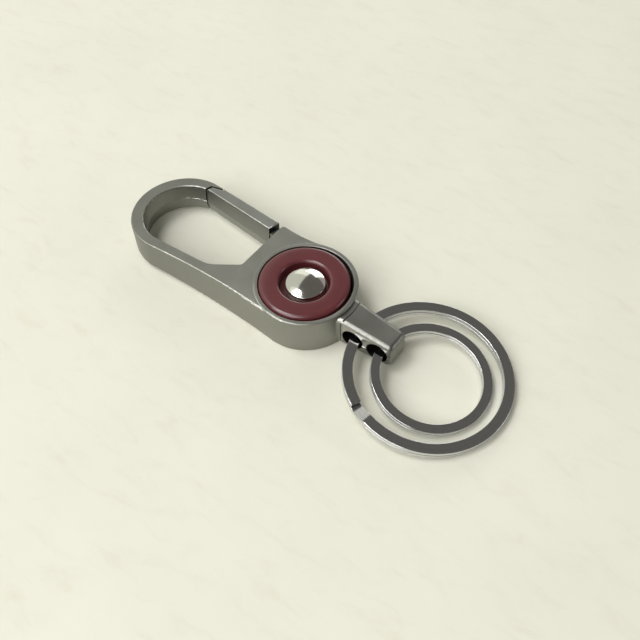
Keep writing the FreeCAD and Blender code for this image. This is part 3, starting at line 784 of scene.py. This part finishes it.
def revolve(bm):
    """Turn the outline once round the vertical axis through the origin."""
    bmesh.ops.delete(bm, geom=bm.faces[:], context="FACES_ONLY")
    on_axis = [edge for edge in bm.edges if all(vert.co.x < WELD for vert in edge.verts)]
    bmesh.ops.delete(bm, geom=on_axis, context="EDGES")
    bmesh.ops.spin(
        bm, geom=bm.verts[:] + bm.edges[:], cent=(0, 0, 0), axis=AXIS, dvec=(0, 0, 0),
        angle=FULL_TURN, steps=RING_STEPS, use_merge=True, use_duplicate=False,
    )
    bmesh.ops.remove_doubles(bm, verts=bm.verts, dist=WELD)
    bmesh.ops.recalc_face_normals(bm, faces=bm.faces)
    smooth_but_sharp(bm)


def spinning_ring(sizes, colours):
    """The lacquered ring: a crowned band with rounded edges around a thin web."""
    low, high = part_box("spinner_ring")
    centre = (low + high) / 2
    outer = (high.x - low.x) / 2 - sizes.ring_lacquer_gap
    middle = (outer + sizes.ring_lip) / 2
    shoulder = high.z - sizes.ring_crown
    bm = bmesh.new()
    corners = (
        (sizes.ring_bore, low.z),
        (outer, low.z),
        (outer, shoulder),
        (middle, high.z),
        (sizes.ring_lip, shoulder),
        (sizes.ring_lip, sizes.ring_web),
        (sizes.ring_bore, sizes.ring_web),
    )
    bm.faces.new([bm.verts.new((radius, 0.0, height)) for radius, height in corners])
    for radius, height, rounding in (
        (middle, high.z, (outer - sizes.ring_lip) * RIDGE_SHARE),
        (outer, shoulder, sizes.ring_outer_round),
        (outer, low.z, sizes.ring_outer_round / 2),
        (sizes.ring_lip, shoulder, sizes.ring_lip_round),
        (sizes.ring_lip, sizes.ring_web, sizes.ring_lip_round),
    ):
        round_corner(bm, radius, height, rounding)
    revolve(bm)
    bmesh.ops.translate(bm, verts=bm.verts, vec=(centre.x, centre.y, 0))
    material = maroon_lacquer("stoved_maroon_lacquer", colours.ring)
    place_piece("lacquered_ring", bm, material, "spinner_ring", "spinner_ring")


def domed_stud(sizes, colours):
    """The polished stud: a shallow crown with a softened edge on a plain head and shank."""
    low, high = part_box("domed_stud")
    radius = (high.x - low.x) / 2
    crown = (radius ** 2 + sizes.stud_dome ** 2) / (2 * sizes.stud_dome)
    edge_height = high.z - sizes.stud_dome
    under = edge_height - sizes.stud_head
    bm = bmesh.new()
    apex = bm.verts.new((0, 0, high.z))
    bmesh.ops.spin(
        bm, geom=[apex], cent=(0, 0, high.z - crown), axis=ACROSS, dvec=(0, 0, 0),
        angle=math.asin(radius / crown), steps=DOME_STEPS, use_merge=False, use_duplicate=False,
    )
    arc = sorted(bm.verts, key=lambda vert: vert.co.x)
    below = [(radius, under), (sizes.stud_shank, under), (sizes.stud_shank, low.z), (0.0, low.z)]
    bm.faces.new(arc + [bm.verts.new((out, 0.0, height)) for out, height in below])
    round_corner(bm, radius, edge_height, sizes.stud_round)
    round_corner(bm, radius, under, sizes.stud_round)
    revolve(bm)
    material = polished_chrome("buffed_bright_chrome", colours.chrome)
    place_piece("chromed_stud", bm, material, "frame", "domed_stud")


# --- Wound pieces ----------------------------------------------------------------------------

WIRE_SEGMENTS = 4
END_SEGMENTS = 3
TURN_STEPS = 115
CLIMB_STEPS = 15


def ease(share):
    """A share of a climb that starts and ends gently."""
    return share * share * (3 - 2 * share)


def sweep(bm, section, angle, steps, rise=0.0):
    """Carry the wire's section round its axis and return the section where it ends."""
    swept = bmesh.ops.spin(
        bm, geom=[*section.verts, *section.edges, section], cent=(0, 0, 0), axis=AXIS,
        dvec=(0, 0, rise / steps), angle=angle, steps=steps, use_merge=False, use_duplicate=False,
    )
    return next(item for item in swept["geom_last"] if isinstance(item, bmesh.types.BMFace))


def split_ring(which, sizes, colours):
    """The large or the small ring: one flat wire wound twice, with rounded edges and a smooth
    climb between its turns."""
    name = which + "_split_ring"
    radius, width, thickness, hang, yaw, joint = (
        getattr(sizes, which + "_" + size)
        for size in ("radius", "width", "thickness", "hang", "yaw", "joint")
    )
    middle = radius - width / 2
    half = thickness + sizes.coil_gap / 2
    rise = thickness + sizes.coil_gap

    # Where it lies: pulled outward in its hole, with its far edge on the floor
    swing = which + "_ring_swing"
    hole = Vector(next(item["pos_m"] for item in frame["joints"] if item["name"] == swing))
    reach = radius + middle + hang
    tilt = math.asin(hole.z / math.hypot(reach, half)) - math.atan2(half, reach)
    turn = Matrix.Rotation(yaw, 4, "Z") @ Matrix.Rotation(tilt, 4, "Y")
    placement = Matrix.Translation(hole + turn @ Vector((middle + hang, 0, 0))) @ turn

    bm = bmesh.new()
    start = (
        Matrix.Rotation(joint + sizes.climb, 4, "Z")
        @ Matrix.Translation((middle, 0, -rise / 2))
        @ Matrix.Rotation(math.pi / 2, 4, "X")
        @ Matrix.Diagonal((width, thickness, 1, 1))
    )
    bmesh.ops.create_grid(bm, x_segments=1, y_segments=1, size=0.5, matrix=start)
    bmesh.ops.bevel(
        bm, geom=bm.verts[:], offset=sizes.wire_round, offset_type="OFFSET", affect="VERTICES",
        segments=WIRE_SEGMENTS, profile=0.5, material=-1,
    )
    (section,) = bm.faces
    section = sweep(bm, section, FULL_TURN - sizes.climb, TURN_STEPS)
    for step in range(CLIMB_STEPS):
        before, after = step / CLIMB_STEPS, (step + 1) / CLIMB_STEPS
        climb = rise * (ease(after) - ease(before))
        section = sweep(bm, section, sizes.climb / CLIMB_STEPS, 1, climb)
        twist = sizes.climb_twist * (math.sin(math.pi * after) - math.sin(math.pi * before))
        centre = section.calc_center_median()
        tangent = AXIS.cross(Vector((centre.x, centre.y, 0))).normalized()
        bmesh.ops.rotate(
            bm, verts=section.verts[:], cent=centre, matrix=Matrix.Rotation(twist, 3, tangent),
        )
    sweep(bm, section, FULL_TURN - sizes.climb, TURN_STEPS)
    bmesh.ops.recalc_face_normals(bm, faces=bm.faces)
    # Only the wire's two end faces have more than four corners
    ends = [face for face in bm.faces if len(face.verts) > 4]
    bmesh.ops.bevel(
        bm, geom=[edge for face in ends for edge in face.edges], offset=sizes.wire_end_round,
        offset_type="OFFSET", affect="EDGES", segments=END_SEGMENTS, profile=0.5, material=-1,
        clamp_overlap=True,
    )
    smooth_but_sharp(bm)
    bmesh.ops.transform(bm, matrix=placement, verts=bm.verts)
    material = nickel_wire("nickel_plated_" + name, colours.nickel, placement)
    weigh_normals(place_piece("wound_" + name, bm, material, name, name))


# --- Operators -------------------------------------------------------------------------------


class KEYHOLDER_OT_casting(bpy.types.Operator):
    """Make the cast body with its hook, housing and tail, and the beads of flash inside its hook"""

    bl_idname = "key_holder.casting"
    bl_label = "Cast body"

    def execute(self, context):
        sizes, colours = context.scene.key_holder_sizes, context.scene.key_holder_colours
        material = cast_body(sizes, colours)
        mould_flash(sizes, material)
        return {"FINISHED"}


class KEYHOLDER_OT_gate(bpy.types.Operator):
    """Make the sprung gate and its spring, and finish its pin"""

    bl_idname = "key_holder.gate"
    bl_label = "Gate, pin and spring"

    def execute(self, context):
        sizes, colours = context.scene.key_holder_sizes, context.scene.key_holder_colours
        cast_gate(sizes, colours)
        dress("gate_pin", brushed_steel("ground_steel_pin", colours.steel, 2, 0.08 * MM))
        leaf_spring(colours)
        return {"FINISHED"}


class KEYHOLDER_OT_spinner(bpy.types.Operator):
    """Make the spinning ring and the domed stud, and finish the bush and the washer"""

    bl_idname = "key_holder.spinner"
    bl_label = "Spinning ring and stud"

    def execute(self, context):
        sizes, colours = context.scene.key_holder_sizes, context.scene.key_holder_colours
        spinning_ring(sizes, colours)
        domed_stud(sizes, colours)
        dress("bearing_bush", black_acetal("moulded_acetal_bush", colours.plastic))
        dress("thrust_washer", black_acetal("moulded_acetal_washer", colours.plastic))
        return {"FINISHED"}


class KEYHOLDER_OT_split_rings(bpy.types.Operator):
    """Wind the large and the small split ring"""

    bl_idname = "key_holder.split_rings"
    bl_label = "Split rings"

    def execute(self, context):
        sizes, colours = context.scene.key_holder_sizes, context.scene.key_holder_colours
        for which in ("large", "small"):
            split_ring(which, sizes, colours)
        return {"FINISHED"}


# Where the camera stands and how it is turned, in the model's frame
CAMERA_PLACE = Vector((69.70, -84.11, 142.43)) * MM
CAMERA_AZIMUTH = math.radians(38.15)
CAMERA_ELEVATION = math.radians(53.344)
CAMERA_ROLL = math.radians(-1.35)
# Focal length and sensor width in millimetres, and the nearest and farthest that it sees, in metres
CAMERA_LENS = 46.125
CAMERA_SENSOR = 36.0
CAMERA_RANGE = (0.005, 10.0)
# How far the floor reaches along each axis, in metres
FLOOR_REACH = 1.5
# The light that comes from all round
SKY = {"Color": (1, 0.95, 0.86, 1), "Strength": 0.135}


def direction(azimuth, elevation):
    """A unit vector from an azimuth, counted from +X towards +Y, and an elevation in degrees."""
    turn, rise = math.radians(azimuth), math.radians(elevation)
    level = math.cos(rise)
    return Vector((math.cos(turn) * level, math.sin(turn) * level, math.sin(rise)))


LAMP_DISTANCE = 1.2
ROUND_LAMP = "key_lamp"
# Name, azimuth, elevation and roll in degrees, width and height in metres, radiance and colour
LAMPS = (
    ("key_lamp", -154, 69, 0, 0.5, 0.42, 7.0, (1, 1, 1)),
    ("key_glow", -168, 58, 0, 0.45, 0.3, 0.22, (1, 1, 0.97)),
    ("front_lamp", -100, 45, 0, 1.1, 0.9, 3.0, (1, 1, 1)),
    ("window", 112, 21, -42, 0.53, 0.42, 2.2, (1, 1, 1)),
    ("window_glow", 131, 24, -42, 0.5, 0.36, 0.35, (1, 1, 0.95)),
    ("pale_wall", 171, 29, -59.7, 1.56, 2.1, 0.43, (0.97, 1, 0.88)),
    ("dim_wall", 84, 31, -20, 0.9, 0.45, 0.2, (1, 0.97, 0.95)),
    ("side_lamp", 32, 20, 0, 0.4, 0.4, 1.6, (1, 1, 1)),
)


def soft_box(name, azimuth, elevation, roll, width, height, radiance, tint):
    """Hang a flat lamp that faces the object; its radiance is what a mirror shows of it."""
    lamp = bpy.data.lights.new(name, "AREA")
    lamp.color = tint
    lamp.size = width
    lamp.size_y = height
    area = width * height
    lamp.shape = "RECTANGLE"
    if name == ROUND_LAMP:
        lamp.shape = "ELLIPSE"
        area *= math.pi / 4
    # An area lamp's energy is four times its radiance times its area
    lamp.energy = 4 * radiance * area
    item = bpy.data.objects.new(name, lamp)
    towards = direction(azimuth, elevation)
    facing = towards.to_track_quat("Z", "Y").to_matrix().to_4x4()
    turn = facing @ Matrix.Rotation(math.radians(roll), 4, "Z")
    item.matrix_world = Matrix.Translation(towards * LAMP_DISTANCE) @ turn
    bpy.context.scene.collection.objects.link(item)


class KEYHOLDER_OT_stage(bpy.types.Operator):
    """Set up the floor, the soft light and the camera"""

    bl_idname = "key_holder.stage"
    bl_label = "Floor, light and camera"

    def execute(self, context):
        scene = context.scene
        colours = scene.key_holder_colours
        bm = bmesh.new()
        bmesh.ops.create_grid(bm, x_segments=1, y_segments=1, size=FLOOR_REACH)
        mesh = bpy.data.meshes.new("floor")
        bm.to_mesh(mesh)
        bm.free()
        mesh.materials.append(pale_stone("honed_cream_stone", colours.floor, colours.floor_vein))
        floor = bpy.data.objects.new("floor", mesh)
        scene.collection.objects.link(floor)

        for lamp in LAMPS:
            soft_box(*lamp)

        world = bpy.data.worlds.new("studio")
        world.use_nodes = True
        world.node_tree.nodes.clear()
        sky = add(world.node_tree, "ShaderNodeBackground", SKY)
        add(world.node_tree, "ShaderNodeOutputWorld", {"Surface": sky})
        scene.world = world

        data = bpy.data.cameras.new("camera")
        data.lens = CAMERA_LENS
        data.sensor_width = CAMERA_SENSOR
        data.clip_start, data.clip_end = CAMERA_RANGE
        camera = bpy.data.objects.new("camera", data)
        turn = (
            Matrix.Rotation(CAMERA_AZIMUTH, 4, "Z")
            @ Matrix.Rotation(math.pi / 2 - CAMERA_ELEVATION, 4, "X")
            @ Matrix.Rotation(CAMERA_ROLL, 4, "Z")
        )
        camera.matrix_world = Matrix.Translation(CAMERA_PLACE) @ turn
        scene.collection.objects.link(camera)
        scene.camera = camera
        scene.view_settings.view_transform = "Standard"
        return {"FINISHED"}


class KEYHOLDER_PT_panel(bpy.types.Panel):
    """The key holder's pieces and settings"""

    bl_label = "Key holder"
    bl_idname = "KEYHOLDER_PT_panel"
    bl_space_type = "VIEW_3D"
    bl_region_type = "UI"
    bl_category = "Key holder"

    def draw(self, context):
        for operator in OPERATORS:
            self.layout.operator(operator.bl_idname)


OPERATORS = (
    KEYHOLDER_OT_stage,
    KEYHOLDER_OT_casting,
    KEYHOLDER_OT_gate,
    KEYHOLDER_OT_spinner,
    KEYHOLDER_OT_split_rings,
)
GROUPS = (("key_holder_sizes", KeyHolderSizes), ("key_holder_colours", KeyHolderColours))


def register():
    """Register the settings, the operators and the panel."""
    for name, group in GROUPS:
        bpy.utils.register_class(group)
        setattr(bpy.types.Scene, name, bpy.props.PointerProperty(type=group))
    for item in (*OPERATORS, KEYHOLDER_PT_panel):
        bpy.utils.register_class(item)


def unregister():
    """Take them away again."""
    for item in (KEYHOLDER_PT_panel, *reversed(OPERATORS)):
        bpy.utils.unregister_class(item)
    for name, group in reversed(GROUPS):
        delattr(bpy.types.Scene, name)
        bpy.utils.unregister_class(group)


def main():
    """Build everything."""
    register()
    bpy.ops.key_holder.stage()
    bpy.ops.key_holder.casting()
    bpy.ops.key_holder.gate()
    bpy.ops.key_holder.spinner()
    bpy.ops.key_holder.split_rings()
    bpy.context.view_layer.update()


if __name__ == "__main__":
    main()
